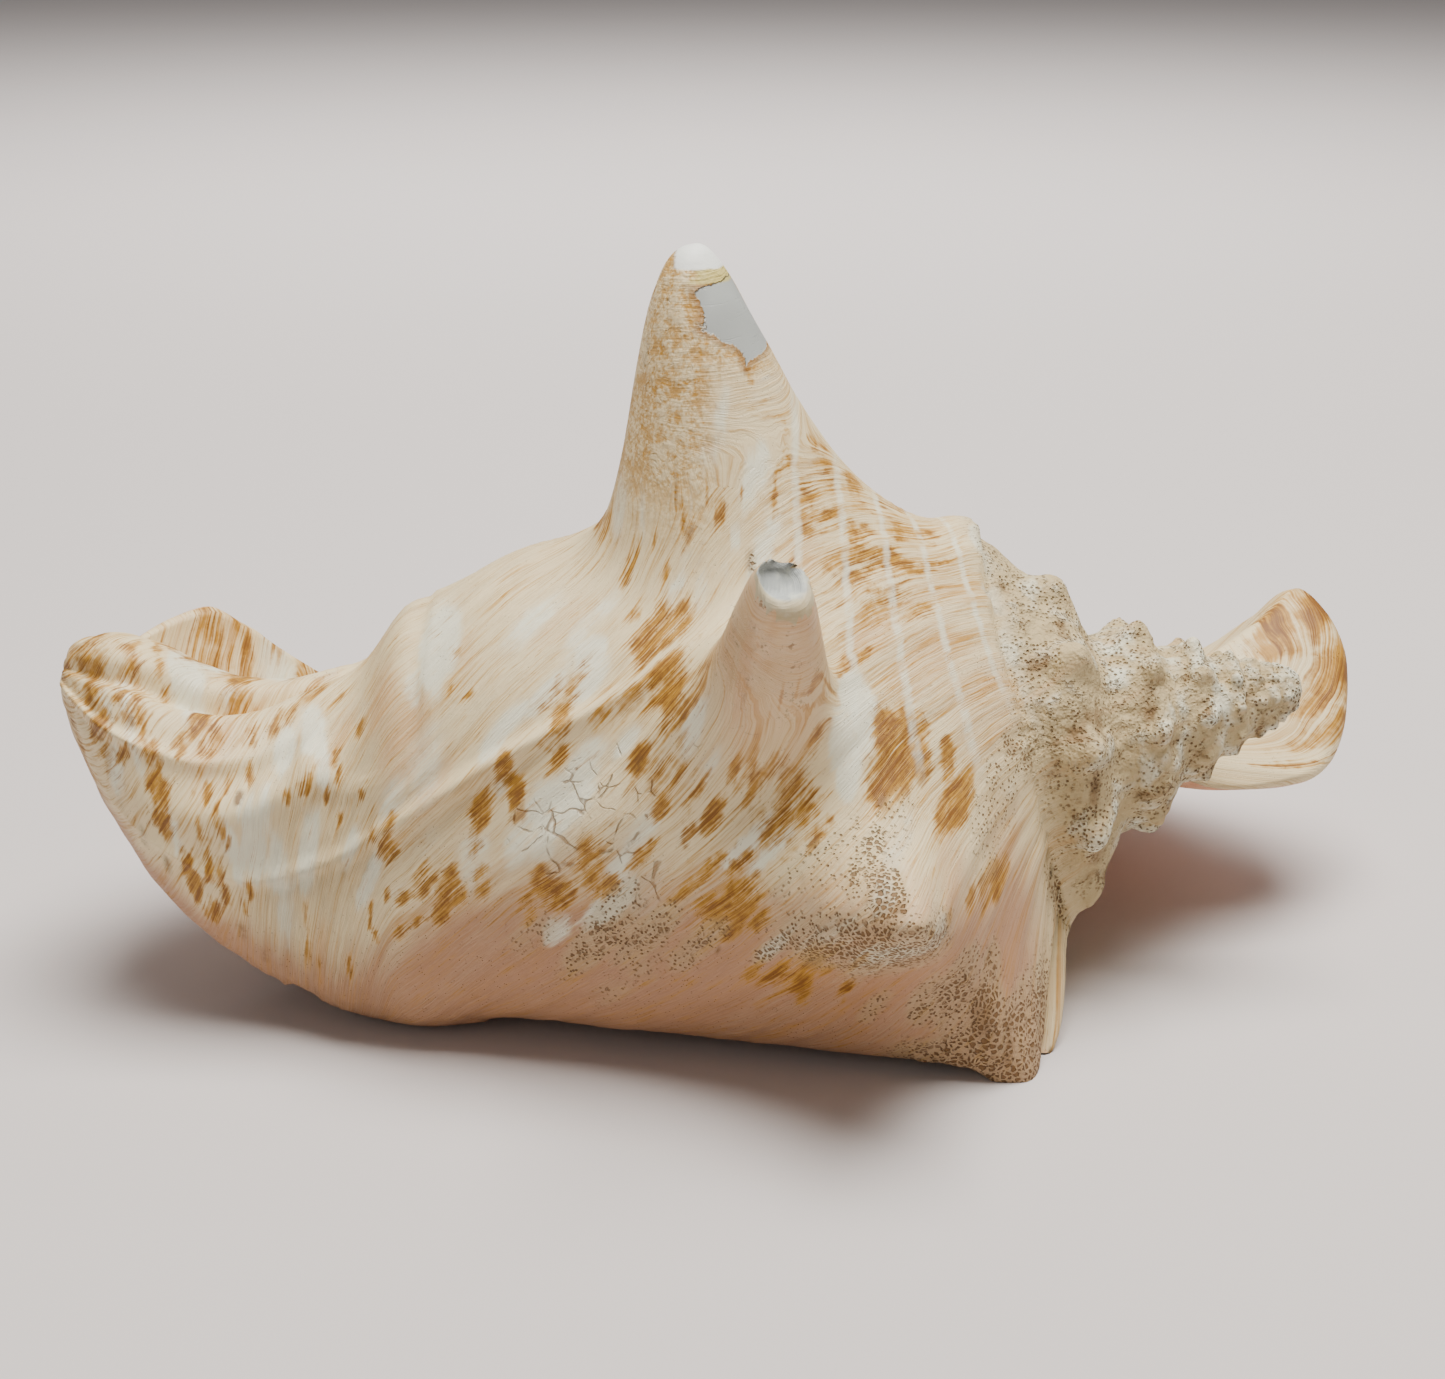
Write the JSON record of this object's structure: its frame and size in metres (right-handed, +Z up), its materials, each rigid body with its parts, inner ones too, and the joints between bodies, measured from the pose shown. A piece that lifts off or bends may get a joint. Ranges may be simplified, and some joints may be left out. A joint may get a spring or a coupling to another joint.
{
  "type": "conch shell",
  "caption": "Large sea snail shell with a knobbed spire, long shoulder spines, an upturned canal and a wide flared lip, lying on its open side",
  "frame": {"origin": "centre of the bounding box in plan, at the level of the surface that the shell rests on", "axes": "+X runs along the shell from the canal to the spire, +Y points to the flared lip, +Z is up with the opening facing down"},
  "size_m": [0.2444, 0.1705, 0.1352],
  "materials": {
    "shell": "matte"
  },
  "bodies": {
    "root": {"shell": "shell"}
  },
  "joints": []
}
